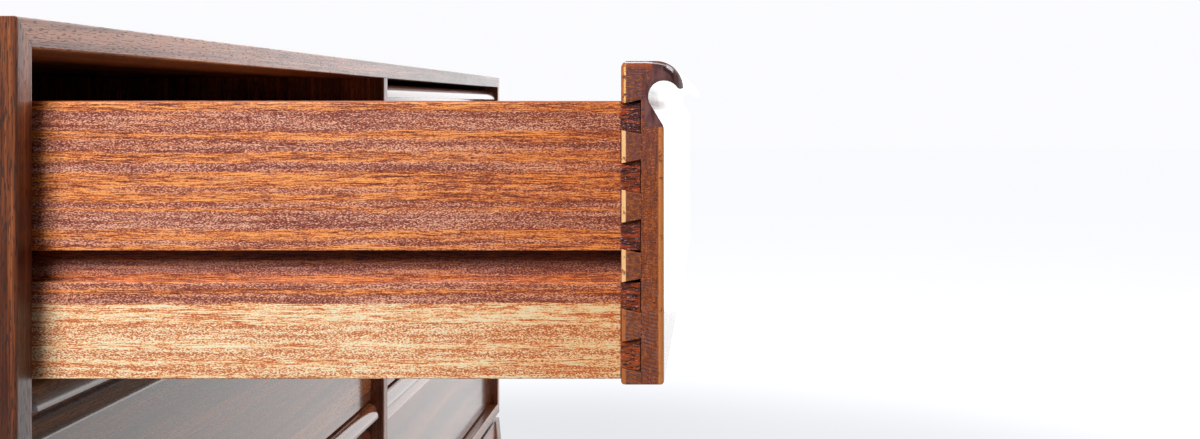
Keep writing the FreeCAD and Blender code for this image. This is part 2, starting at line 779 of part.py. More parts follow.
def build():
    os.makedirs("parts", exist_ok=True)

    # Drawers: six alike, the upper left one drawn out.
    pieces = drawer_parts()
    for column, bay_x in COLUMNS.items():
        for row in ROWS:
            opened = drawer_open if (column, row) == ("left", "top") else 0.0
            move = FreeCAD.Vector(bay_x + side_gap, front_inset - opened, row_height(row))
            for piece, shape in pieces.items():
                placed = shape.copy()
                placed.translate(move)
                save("drawer_%s_%s_%s" % (row, column, piece), placed)

    # Runners and the screws that hold them.
    screws = []
    rooms = {}
    for name, (wall_x, toward) in runner_walls().items():
        strips = [runner(row, wall_x, toward) for row in ROWS]
        save(name, Part.makeCompound(strips))
        rooms[name] = []
        for row in ROWS:
            screws += runner_screws(row, wall_x, toward)
            rooms[name] += runner_screw_rooms(row, wall_x, toward)
    save("runner_screws", Part.makeCompound(screws))

    # Case, with the holes of every screw that enters it.
    back_rooms = back_screw_rooms()
    base_rooms = list(four_ways(base_screw_room()).values())
    side = case_side()
    save("case_top", case_top().cut(back_rooms))
    save("case_bottom", case_bottom().cut(back_rooms + base_rooms))
    save("case_side_left", side.cut(back_rooms + rooms["runners_side_left"]))
    save("case_side_right", mirrored_x(side, 0.0).cut(back_rooms + rooms["runners_side_right"]))
    save("case_partition", case_partition().cut(
        back_rooms + rooms["runners_partition_left"] + rooms["runners_partition_right"]))
    save("case_back", case_back().cut(back_rooms))
    out = FreeCAD.Vector(0.0, 1.0, 0.0)
    save("back_screws", Part.makeCompound(
        [screw(out, FreeCAD.Vector(x, case_depth - head_sink, z), back_screw_length)
         for x, z in back_screw_places()]))

    # Leg frame.
    for corner, shape in four_ways(leg()).items():
        save("leg_" + corner, shape)
    middle = FreeCAD.Vector(0.0, case_depth / 2.0, 0.0)
    front = rail_front()
    left = rail_side()
    save("rail_front", front)
    save("rail_back", front.mirror(middle, FreeCAD.Vector(0.0, 1.0, 0.0)))
    save("rail_left", left)
    save("rail_right", mirrored_x(left, 0.0))
    save("frame_stretcher", stretcher())
    save("corner_blocks", Part.makeCompound(list(four_ways(corner_block()).values())))
    pads = list(four_ways(corner_spacer()).values()) + stretcher_spacers()
    save("frame_spacers", Part.makeCompound(pads))
    save("frame_screws", Part.makeCompound(list(four_ways(base_screw()).values())))
    save("foot_glides", Part.makeCompound(list(four_ways(glide()).values())))


build()
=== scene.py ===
"""Finishes, light and camera for a six-drawer dresser with one drawer drawn out."""

from __future__ import annotations

import logging
import math
from dataclasses import dataclass, field
from enum import Enum
from functools import reduce
from typing import Iterable, Sequence, Union

import bpy
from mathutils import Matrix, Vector

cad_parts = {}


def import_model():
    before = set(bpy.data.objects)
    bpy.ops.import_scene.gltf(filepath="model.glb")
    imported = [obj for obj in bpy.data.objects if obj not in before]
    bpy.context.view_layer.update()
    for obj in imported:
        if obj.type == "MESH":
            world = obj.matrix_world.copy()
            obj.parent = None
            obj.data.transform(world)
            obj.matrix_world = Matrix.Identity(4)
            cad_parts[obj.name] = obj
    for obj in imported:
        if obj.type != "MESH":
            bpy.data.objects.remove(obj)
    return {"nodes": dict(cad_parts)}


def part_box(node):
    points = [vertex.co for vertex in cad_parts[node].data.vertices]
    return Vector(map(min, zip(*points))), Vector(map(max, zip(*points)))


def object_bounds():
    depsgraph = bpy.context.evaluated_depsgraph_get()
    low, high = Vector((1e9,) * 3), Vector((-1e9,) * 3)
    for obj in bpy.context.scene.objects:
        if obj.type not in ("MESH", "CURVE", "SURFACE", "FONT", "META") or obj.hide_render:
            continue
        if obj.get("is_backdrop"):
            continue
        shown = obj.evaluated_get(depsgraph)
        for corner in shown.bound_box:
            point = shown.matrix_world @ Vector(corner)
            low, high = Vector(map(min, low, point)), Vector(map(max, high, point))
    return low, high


log = logging.getLogger("dresser")

Rgb = tuple[float, float, float]
Stop = tuple[float, Rgb]
Number = Union[float, "Wire"]
Socket = bpy.types.NodeSocket
Colour = Union[Rgb, Socket]

BLACK: Rgb = (0.0, 0.0, 0.0)
WHITE: Rgb = (1.0, 1.0, 1.0)


def rgb(red: float, green: float, blue: float) -> Rgb:
    """Scene-linear colour of a display colour.

    Args:
        red: Red, 0 to 255.
        green: Green, 0 to 255.
        blue: Blue, 0 to 255.

    Returns:
        The colour as three linear values.
    """
    def linear(level: float) -> float:
        """Linear value of one channel.

        Args:
            level: Display value, 0 to 255.

        Returns:
            The value, 0 to 1.
        """
        share = level / 255.0
        return share / 12.92 if share <= 0.04045 else ((share + 0.055) / 1.055) ** 2.4
    return linear(red), linear(green), linear(blue)


class Grain(Enum):
    """Axis that a piece's wood grain runs along."""

    X = 0
    Y = 1
    Z = 2


class Reach(Enum):
    """What a lamp's light does: lights and reflects, only reflects, or only lights."""

    ALL = 0
    SHEEN = 1
    BODY = 2


@dataclass(frozen=True)
class Wire:
    """One number socket of a node tree, usable in arithmetic."""

    graph: "Graph"
    socket: Socket

    def _math(self, operation: str, *values: Number) -> "Wire":
        """Add one Math node.

        Args:
            operation: The node's operation.
            values: Its inputs, in order.

        Returns:
            The node's result.
        """
        node = self.graph.node("ShaderNodeMath", {"operation": operation},
                               dict(enumerate(values)))
        return Wire(self.graph, node.outputs[0])

    def __add__(self, other: Number) -> "Wire":
        """Sum."""
        return self._math("ADD", self, other)

    __radd__ = __add__

    def __sub__(self, other: Number) -> "Wire":
        """Difference."""
        return self._math("SUBTRACT", self, other)

    def __rsub__(self, other: Number) -> "Wire":
        """Difference from a number."""
        return self._math("SUBTRACT", other, self)

    def __mul__(self, other: Number) -> "Wire":
        """Product."""
        return self._math("MULTIPLY", self, other)

    __rmul__ = __mul__

    def __truediv__(self, other: Number) -> "Wire":
        """Quotient."""
        return self._math("DIVIDE", self, other)

    def __rtruediv__(self, other: Number) -> "Wire":
        """A number over this."""
        return self._math("DIVIDE", other, self)

    def __abs__(self) -> "Wire":
        """Size without sign."""
        return self._math("ABSOLUTE", self)

    def larger(self, other: Number) -> "Wire":
        """The larger of two values."""
        return self._math("MAXIMUM", self, other)

    def sine(self) -> "Wire":
        """Sine of an angle in radians."""
        return self._math("SINE", self)

    def root(self) -> "Wire":
        """Square root."""
        return self._math("SQRT", self)

    def between(self, low: Number, high: Number) -> "Wire":
        """Smooth step.

        Args:
            low: Value that gives 0.
            high: Value that gives 1. It may lie under low.

        Returns:
            A value from 0 to 1.
        """
        node = self.graph.node(
            "ShaderNodeMapRange", {"interpolation_type": "SMOOTHSTEP", "clamp": True},
            {0: self, 1: low, 2: high, 3: 0.0, 4: 1.0})
        return Wire(self.graph, node.outputs[0])


class Graph:
    """A node tree and the few kinds of node the finishes need."""

    def __init__(self, tree: bpy.types.NodeTree) -> None:
        """Start with an empty tree.

        Args:
            tree: The tree, which is cleared.
        """
        self.tree = tree
        self.tree.nodes.clear()

    def node(self, kind: str, settings: dict[str, object],
             inputs: dict[Union[int, str], object]) -> bpy.types.Node:
        """Add a node.

        Args:
            kind: The node's type.
            settings: Properties, set before the inputs.
            inputs: Values, Wires or sockets by input name or number.

        Returns:
            The node.
        """
        node = self.tree.nodes.new(kind)
        for key, value in settings.items():
            setattr(node, key, value)
        for key, value in inputs.items():
            self.feed(node.inputs[key], value)
        return node

    def feed(self, socket: Socket, value: object) -> None:
        """Link or set one input.

        Args:
            socket: The input.
            value: A Wire, a socket, a number or a colour.
        """
        if isinstance(value, Wire):
            self.tree.links.new(value.socket, socket)
        elif isinstance(value, Socket):
            self.tree.links.new(value, socket)
        elif isinstance(value, tuple) and socket.type == "RGBA":
            socket.default_value = (*value, 1.0)
        else:
            socket.default_value = value

    def split(self, vector: Socket) -> tuple[Wire, Wire, Wire]:
        """The three parts of a vector."""
        node = self.node("ShaderNodeSeparateXYZ", {}, {0: vector})
        return tuple(Wire(self, out) for out in node.outputs)

    def join(self, x: Number, y: Number, z: Number) -> Socket:
        """A vector of three numbers."""
        return self.node("ShaderNodeCombineXYZ", {}, {0: x, 1: y, 2: z}).outputs[0]

    def noise(self, x: Number, y: Number, z: Number, detail: float = 2.0,
              rough: float = 0.5, twist: float = 0.0) -> Wire:
        """Noise over three scaled coordinates.

        Args:
            x: First coordinate, already scaled.
            y: Second coordinate.
            z: Third coordinate.
            detail: Octaves.
            rough: Share of each finer octave.
            twist: Distortion.

        Returns:
            A value about 0.5.
        """
        node = self.node("ShaderNodeTexNoise", {}, {
            "Vector": self.join(x, y, z), "Scale": 1.0, "Detail": detail,
            "Roughness": rough, "Distortion": twist})
        return Wire(self, node.outputs[0])

    def ramp(self, value: Number, stops: Sequence[Stop]) -> Socket:
        """Colours along a value.

        Args:
            value: Position, 0 to 1.
            stops: Positions and their colours.

        Returns:
            The colour socket.
        """
        node = self.node("ShaderNodeValToRGB", {}, {0: value})
        elements = node.color_ramp.elements
        while len(elements) < len(stops):
            elements.new(0.5)
        for element, (place, colour) in zip(elements, stops):
            element.position = place
            element.color = (*colour, 1.0)
        return node.outputs[0]

    def mix(self, share: Number, first: Colour, second: Colour,
            blend: str = "MIX") -> Socket:
        """Blend two colours.

        Args:
            share: Share of the second.
            first: Colour or socket.
            second: Colour or socket.
            blend: Blend type.

        Returns:
            The colour socket.
        """
        node = self.node("ShaderNodeMix", {"data_type": "RGBA", "blend_type": blend},
                         {0: share, 6: first, 7: second})
        return node.outputs[2]


class Paint(Graph):
    """Material graph that ends in a Principled shader."""

    def __init__(self, name: str) -> None:
        """Start an empty material.

        Args:
            name: The material's name.
        """
        self.material = bpy.data.materials.new(name)
        self.material.use_nodes = True
        super().__init__(self.material.node_tree)
        self.shader = self.node("ShaderNodeBsdfPrincipled", {}, {})
        self.exit = self.node("ShaderNodeOutputMaterial", {}, {
            "Surface": self.shader.outputs[0]})
        coords = self.node("ShaderNodeTexCoord", {}, {})
        self.place = coords.outputs["Object"]
        self.facing = coords.outputs["Normal"]

    def set(self, **values: object) -> None:
        """Feed the shader's inputs, named with underscores for spaces."""
        for name, value in values.items():
            self.feed(self.shader.inputs[name.replace("_", " ")], value)

    def soft_edge(self, radius: float) -> Socket:
        """Normal that rounds each arris over a radius in metres."""
        return self.node("ShaderNodeBevel", {"samples": 4}, {"Radius": radius}).outputs[0]

    def edge_mask(self, rounded: Socket) -> Wire:
        """How far a rounded normal leaves the true one.

        Args:
            rounded: Normal with its arrises softened.

        Returns:
            0 on flats, more on arrises.
        """
        true = self.node("ShaderNodeNewGeometry", {}, {}).outputs["True Normal"]
        node = self.node("ShaderNodeVectorMath", {"operation": "DOT_PRODUCT"},
                         {0: rounded, 1: true})
        return 1.0 - Wire(self, node.outputs["Value"])

    def bump(self, height: Wire, distance: float, strength: float, normal: Socket) -> None:
        """Raise the surface by a height.

        Args:
            height: Height, in units of distance.
            distance: Metres for one unit.
            strength: Share applied.
            normal: Normal to start from.
        """
        node = self.node("ShaderNodeBump", {}, {
            "Height": height, "Distance": distance, "Strength": strength, "Normal": normal})
        self.set(Normal=node.outputs[0])


@dataclass(frozen=True)
class WoodPalette:
    """Colours of one timber: along its grain, in its pores, on its ends and on its arrises."""

    streaks: tuple[Stop, ...]
    pore: Rgb
    end_light: Rgb
    end_dark: Rgb
    edge: Rgb


@dataclass(frozen=True)
class WoodFinish:
    """Lacquered wood: streaks and pores along the grain, rings and rays on its end.

    Lengths are in metres, and a frequency is per metre. The gloss and coat_gloss are roughnesses,
    the coat is its weight, and extra is what polish adds to that weight.
    """

    palette: WoodPalette
    band: float = 45.0
    streak: float = 230.0
    fine: float = 1100.0
    pore_length: float = 0.006
    pore_width: float = 0.0007
    pore_share: float = 0.55
    ring: float = 650.0
    gloss: float = 0.40
    shine: float = 0.5
    coat: float = 0.4
    coat_gloss: float = 0.16
    extra: float = 0.0
    arris: float = 0.0005
    grit: float = 0.5

    def frame(self, paint: Paint, grain: Grain, shift: Vector) -> tuple[Wire, Wire, Wire]:
        """Coordinates along and across the grain.

        Args:
            paint: The material's graph.
            grain: Axis of the grain.
            shift: Offset that makes one board differ from another.

        Returns:
            Along, across the face, and into the board.
        """
        x, y, z = paint.split(paint.place)
        order = {Grain.X: (x, z, y), Grain.Y: (y, z, x), Grain.Z: (z, x, y)}[grain]
        along, across, inward = order
        return along + shift.x, across + shift.y, inward + shift.z

    def end_mask(self, paint: Paint, grain: Grain) -> Wire:
        """1 on faces that cut the grain, 0 on the others."""
        return abs(paint.split(paint.facing)[grain.value]).between(0.55, 0.75)

    def tone(self, paint: Paint, along: Wire, across: Wire, inward: Wire) -> Wire:
        """Depth of colour of the streaks.

        Args:
            paint: The material's graph.
            along: Place along the grain.
            across: Place across the face.
            inward: Place into the board.

        Returns:
            0 dark to 1 light.
        """
        sway = paint.noise(along * 2.2, across * 11.0, inward * 11.0) - 0.5
        bent = across + sway * 0.007
        broad = paint.noise(along * 0.9, bent * self.band, inward * self.band * 0.6, 3.0)
        lines = paint.noise(along * 2.6, bent * self.streak, inward * self.streak, 3.0, 0.6)
        hairs = paint.noise(along * 22.0, bent * self.fine, inward * self.fine, 2.0, 0.6)
        return ((broad * 0.9 + lines * 0.7 + hairs * 0.6) / 2.2).between(0.39, 0.61)

    def pores(self, paint: Paint, along: Wire, across: Wire, inward: Wire) -> Wire:
        """Short dark flecks along the grain.

        Args:
            paint: The material's graph.
            along: Place along the grain.
            across: Place across the face.
            inward: Place into the board.

        Returns:
            0 clear to 1 dark.
        """
        mesh = paint.noise(along / self.pore_length, across / self.pore_width,
                           inward / self.pore_width, 1.0, 0.4)
        patch = paint.noise(along * 9.0, across * 60.0, inward * 60.0, 2.0)
        limit = 0.62 - self.pore_share * 0.12 - (patch - 0.5) * 0.22
        return (mesh - limit).between(0.0, 0.07)

    def end_tone(self, paint: Paint, across: Wire, inward: Wire) -> Wire:
        """Rings and rays on the ends.

        Args:
            paint: The material's graph.
            across: Place across the face.
            inward: Place into the board.

        Returns:
            0 dark to 1 light.
        """
        bow = across * across * 6.0
        rings = paint.noise((inward + bow) * self.ring, across * 28.0, 0.0, 3.0, 0.7)
        rays = paint.noise(across * self.ring * 1.1, inward * 60.0, 3.0, 2.0, 0.6)
        specks = paint.noise(across * 1500.0, inward * 1500.0, 7.0, 1.0)
        return (rings * 0.5 + rays * 0.3 + specks * 0.35).between(0.36, 0.8)

    def colour(self, paint: Paint, grain: Grain, shift: Vector) -> tuple[Socket, Wire, Wire]:
        """Colour of the bare wood.

        Args:
            paint: The material's graph.
            grain: Axis of the grain.
            shift: Offset of this board.

        Returns:
            Colour socket, raised grain and pits.
        """
        along, across, inward = self.frame(paint, grain, shift)
        tone = self.tone(paint, along, across, inward)
        pores = self.pores(paint, along, across, inward)
        face = paint.ramp(tone, self.palette.streaks)
        face = paint.mix(pores * 0.75, face, self.palette.pore)
        end = self.end_tone(paint, across, inward)
        cut = paint.ramp(end, ((0.0, self.palette.end_dark), (1.0, self.palette.end_light)))
        mask = self.end_mask(paint, grain)
        return paint.mix(mask, face, cut), tone, pores * (1.0 - mask) + (1.0 - end) * mask

    def rounding(self, paint: Paint) -> Socket:
        """Normal with its arrises softened."""
        return paint.soft_edge(self.arris)

    def polish(self, paint: Paint) -> Number:
        """Share of extra polish, 0 to 1."""
        return 0.0

    def material(self, name: str, grain: Grain, shift: Vector = Vector()) -> bpy.types.Material:
        """Build the material.

        Args:
            name: The material's name.
            grain: Axis of the grain.
            shift: Offset of this board.

        Returns:
            The finished material.
        """
        paint = Paint(name)
        colour, grain_height, pits = self.colour(paint, grain, shift)
        rounded = self.rounding(paint)
        edge = paint.edge_mask(rounded).between(0.02, 0.25)
        colour = paint.mix(edge * 0.35, colour, self.palette.edge)
        x, y, z = paint.split(paint.place)
        dull = paint.noise(x * 30.0, y * 30.0, z * 30.0, 3.0) - 0.5
        matt = 1.0 - self.polish(paint)
        rough = self.gloss + dull * 0.14 + pits * 0.14 - grain_height * 0.05
        paint.set(Base_Color=colour, Specular_IOR_Level=self.shine,
                  Roughness=rough * (matt * 0.7 + 0.3), Coat_Roughness=self.coat_gloss,
                  Coat_Weight=(1.0 - pits * 0.35) * self.coat + (1.0 - matt) * self.extra)
        paint.bump((grain_height * 0.3 - pits) * (matt * 0.7 + 0.3), 0.00012, self.grit, rounded)
        return paint.material


TEAK = WoodPalette(
    streaks=((0.0, rgb(74, 37, 24)), (0.35, rgb(112, 59, 35)), (0.7, rgb(146, 80, 44)),
             (1.0, rgb(176, 106, 60))),
    pore=rgb(46, 26, 22), end_light=rgb(150, 82, 46), end_dark=rgb(92, 54, 46),
    edge=rgb(190, 116, 66))
MAHOGANY = WoodPalette(
    streaks=((0.0, rgb(112, 52, 40)), (0.3, rgb(150, 76, 48)), (0.62, rgb(206, 116, 58)),
             (1.0, rgb(240, 168, 96))),
    pore=rgb(110, 60, 58), end_light=rgb(170, 96, 52), end_dark=rgb(80, 44, 36),
    edge=rgb(222, 124, 54))
BEECH = WoodPalette(
    streaks=((0.0, rgb(170, 128, 88)), (0.5, rgb(196, 156, 112)), (1.0, rgb(214, 178, 134))),
    pore=rgb(140, 98, 64), end_light=rgb(190, 148, 104), end_dark=rgb(140, 100, 68),
    edge=rgb(220, 186, 142))
PINE = WoodPalette(
    streaks=((0.0, rgb(190, 142, 88)), (0.5, rgb(218, 178, 122)), (1.0, rgb(232, 200, 150))),
    pore=rgb(170, 118, 70), end_light=rgb(210, 166, 112), end_dark=rgb(160, 112, 70),
    edge=rgb(236, 206, 160))


@dataclass(frozen=True)
class Figure:
    """A side's figure: its colour, its depth, its lines and the coordinate across them."""

    colour: Socket
    value: Wire
    lines: Wire
    bent: Wire


@dataclass(frozen=True)
class SideFinish(WoodFinish):
    """Drawer sides: ribbons of orange and curly mauve, a pale strip of sapwood, dark tails.

    Heights are taken from the side's lower edge. A band is its middle's height, half its width
    and its depth of colour, in metres and as a share. The shoulder is where the tails start.
    """

    low: float = 0.0
    height: float = 0.1425
    shoulder: float = 0.0
    middle: float = 0.0
    half_thickness: float = 0.00625
    groove_top: float = 0.0654
    groove_low: float = 0.0495
    sapwood: float = 0.0386
    front_reach: float = 0.13
    front_painted_shade: Rgb = (0.87, 0.74, 0.61)
    bands: tuple[tuple[float, float, float], ...] = (
        (0.1320, 0.0046, 0.85), (0.1194, 0.0026, 0.75), (0.1084, 0.0017, 1.0),
        (0.0970, 0.0009, 0.6), (0.0893, 0.0011, 1.0), (0.0816, 0.0041, 0.95),
        (0.0703, 0.0011, 0.7), (0.0566, 0.0032, 0.8), (0.0476, 0.0013, 0.85),
        (0.0409, 0.0020, 0.95), (0.0233, 0.0044, 0.75), (0.0125, 0.0021, 1.0),
        (0.0036, 0.0032, 0.65))
    orange: tuple[Stop, ...] = (
        (0.0, rgb(110, 50, 32)), (0.28, rgb(164, 80, 42)), (0.55, rgb(210, 110, 46)),
        (0.8, rgb(240, 136, 60)), (1.0, rgb(255, 172, 92)))
    curly: tuple[Stop, ...] = (
        (0.0, rgb(122, 60, 52)), (0.35, rgb(162, 88, 70)), (0.6, rgb(192, 116, 92)),
        (0.8, rgb(216, 146, 120)), (1.0, rgb(238, 188, 164)))
    gold: tuple[Stop, ...] = (
        (0.0, rgb(196, 100, 60)), (0.3, rgb(250, 156, 98)), (0.55, rgb(255, 192, 126)),
        (0.8, rgb(255, 216, 154)), (1.0, rgb(255, 242, 208)))
    pink: tuple[Stop, ...] = (
        (0.0, rgb(196, 114, 72)), (0.35, rgb(246, 162, 108)), (0.6, rgb(255, 190, 134)),
        (0.85, rgb(255, 218, 166)), (1.0, rgb(255, 244, 212)))

    def banding(self, level: Wire) -> Wire:
        """Depth of the curly bands.

        Args:
            level: Height above the lower edge.

        Returns:
            0 between the bands, up to 1 within them.
        """
        return reduce(Wire.larger, (
            abs(level - middle).between(half + 0.0022, half - 0.0014) * strength
            for middle, half, strength in self.bands))

    def figure(self, paint: Paint, level: Wire, sway: Wire,
               board: tuple[Wire, Wire, Wire]) -> Figure:
        """Ribbons of heartwood over the strip of sapwood.

        Args:
            paint: The material's graph.
            level: Height above the lower edge, swaying with the grain.
            sway: The sway, about 0.
            board: Coordinates along and across the grain and into the board.

        Returns:
            The figure.
        """
        along, across, inward = board
        cloud = paint.noise(along * 24.0, across * 430.0, inward * 430.0, 3.0, 0.65) - 0.5
        drift = paint.noise(along * 7.0, across * 90.0, inward * 90.0, 2.0) - 0.5
        curly = self.banding(level) + cloud * 2.6 + drift * 0.5 + 0.02
        curly = curly.between(0.0, 1.0) * 0.9 + 0.05

        ripple = paint.noise(along * 320.0, across * 210.0, inward * 210.0, 1.0) - 0.5
        bent = across + sway * 0.0030 + ripple * (curly * 0.0016 + 0.0004)
        lines = paint.noise(along * 130.0, bent * 2100.0, inward * 500.0, 2.0, 0.65)
        curls = paint.noise(along * 960.0, bent * 2300.0, inward * 700.0, 1.0, 0.5)
        broad = paint.noise(along * 24.0, bent * 560.0, inward * 330.0, 2.0)
        value = lines * (1.0 - curly * 0.75) + curls * (curly * 0.65 + 0.50) + broad * 0.45
        value = (value / 1.9).between(0.398, 0.602)

        heart = paint.mix(curly, paint.ramp(value, self.orange), paint.ramp(value, self.curly))
        crisp = (value - 0.5) * 1.25 + 0.5
        sap = paint.mix(curly, paint.ramp(crisp, self.gold), paint.ramp(crisp, self.pink))
        pale = (level + cloud * 0.0045).between(self.sapwood + 0.0007, self.sapwood - 0.0007)
        return Figure(paint.mix(pale, heart, sap), value, lines, bent)

    def groove(self, paint: Paint, colour: Socket, side: Wire, level: Wire) -> Socket:
        """Paint shade into the runner groove: a cool darkening of its floor, deeper under its
        upper edge and darkest right below it.

        Args:
            paint: The material's graph.
            colour: Colour of the side so far.
            side: Place across the side's thickness.
            level: Height above the lower edge.

        Returns:
            The colour with the groove worked in.
        """
        sunk = (abs(side - self.middle) - self.half_thickness).between(-0.0004, -0.0012)
        sunk = sunk * level.between(self.groove_low - 0.0012, self.groove_low)
        sunk = sunk * level.between(self.groove_top + 0.0012, self.groove_top)
        shade = level.between(self.groove_top - 0.0125, self.groove_top - 0.0060)
        painted_top_shade = level.between(self.groove_top - 0.0070, self.groove_top - 0.0010)
        # Painted shade: the groove's floor is darkened, most under its upper edge, where that edge
        # would shade it.
        for share, cast in ((sunk, (0.82, 0.80, 0.88)), (sunk * shade, (0.52, 0.42, 0.36)),
                            (sunk * painted_top_shade, (0.62, 0.38, 0.22))):
            colour = paint.mix(share, colour, cast, "MULTIPLY")
        return colour

    def upper_edge(self, paint: Paint, colour: Socket, rise: Wire, lines: Wire) -> Socket:
        """Warm the rounded upper edge and draw the broken line under it.

        Args:
            paint: The material's graph.
            colour: Colour of the side so far.
            rise: Height above the lower edge.
            lines: The figure's lines.

        Returns:
            The colour with the edge worked in.
        """
        crown = rise.between(self.height - 0.0011, self.height - 0.0005)
        colour = paint.mix(crown * 0.9, colour, rgb(176, 82, 22))
        nick = abs(rise - self.height + 0.0019).between(0.0005, 0.0002)
        return paint.mix(nick * lines.between(0.60, 0.44) * 0.6, colour, rgb(104, 48, 32))

    def tails(self, paint: Paint, level: Wire, along: Wire, bent: Wire) -> Socket:
        """Colour of the tails: dark and reddish, with pale specks painted in as glints.

        Args:
            paint: The material's graph.
            level: Height above the lower edge.
            along: Place along the grain.
            bent: Place across the grain, bent with the figure.

        Returns:
            The colour socket.
        """
        base = paint.ramp(level / self.height, (
            (0.06, rgb(156, 82, 38)), (0.16, rgb(134, 64, 30)), (0.31, rgb(112, 50, 24)),
            (0.47, rgb(84, 38, 32)), (0.56, rgb(112, 48, 26)), (0.70, rgb(132, 56, 24)),
            (0.80, rgb(98, 42, 28)), (0.95, rgb(92, 46, 42))))
        fine = paint.noise(along * 210.0, bent * 1050.0, 1.0, 2.0, 0.6)
        dark = paint.mix(fine.between(0.54, 0.42) * 0.9, base, rgb(38, 12, 8))
        warm = paint.noise(along * 90.0, bent * 480.0, 3.0, 2.0, 0.6).between(0.50, 0.60)
        dark = paint.mix(warm * 0.65, dark, rgb(192, 80, 26))
        dark = paint.mix(0.6, dark, (0.92, 0.75, 0.64), "MULTIPLY")
        # Painted glints: sparse pale specks stand in for the lacquer's specular flecks.
        painted_glint = paint.noise(along * 480.0, bent * 1600.0, 9.0, 1.0).between(0.66, 0.72)
        return paint.mix(painted_glint * 0.85, dark, rgb(190, 176, 188))

    def colour(self, paint: Paint, grain: Grain, shift: Vector) -> tuple[Socket, Wire, Wire]:
        """Colour of the bare wood.

        Args:
            paint: The material's graph.
            grain: Axis of the grain.
            shift: Offset of this board.

        Returns:
            Colour socket, raised grain and pits.
        """
        side, depth, height = paint.split(paint.place)
        board = self.frame(paint, grain, shift)
        along, across, inward = board
        sway = paint.noise(along * 5.0, across * 25.0, inward * 25.0, 2.0) - 0.5
        rise = height - self.low
        level = rise + sway * 0.0030
        figure = self.figure(paint, level, sway, board)
        # Painted shade: the side grows darker and warmer toward the front, where the light falls
        # off.
        toward_front = depth.between(self.shoulder + self.front_reach, self.shoulder)
        colour = paint.mix(toward_front, figure.colour, self.front_painted_shade, "MULTIPLY")
        colour = self.groove(paint, colour, side, level)
        colour = self.upper_edge(paint, colour, rise, figure.lines)
        cut = paint.ramp(figure.value, ((0.0, rgb(70, 36, 30)), (1.0, rgb(150, 76, 44))))
        colour = paint.mix(self.end_mask(paint, grain), colour, cut)
        tail = depth.between(self.shoulder + 0.0006, self.shoulder - 0.0003)
        colour = paint.mix(tail, colour, self.tails(paint, level, along, figure.bent))
        return colour, figure.value, 1.0 - figure.value


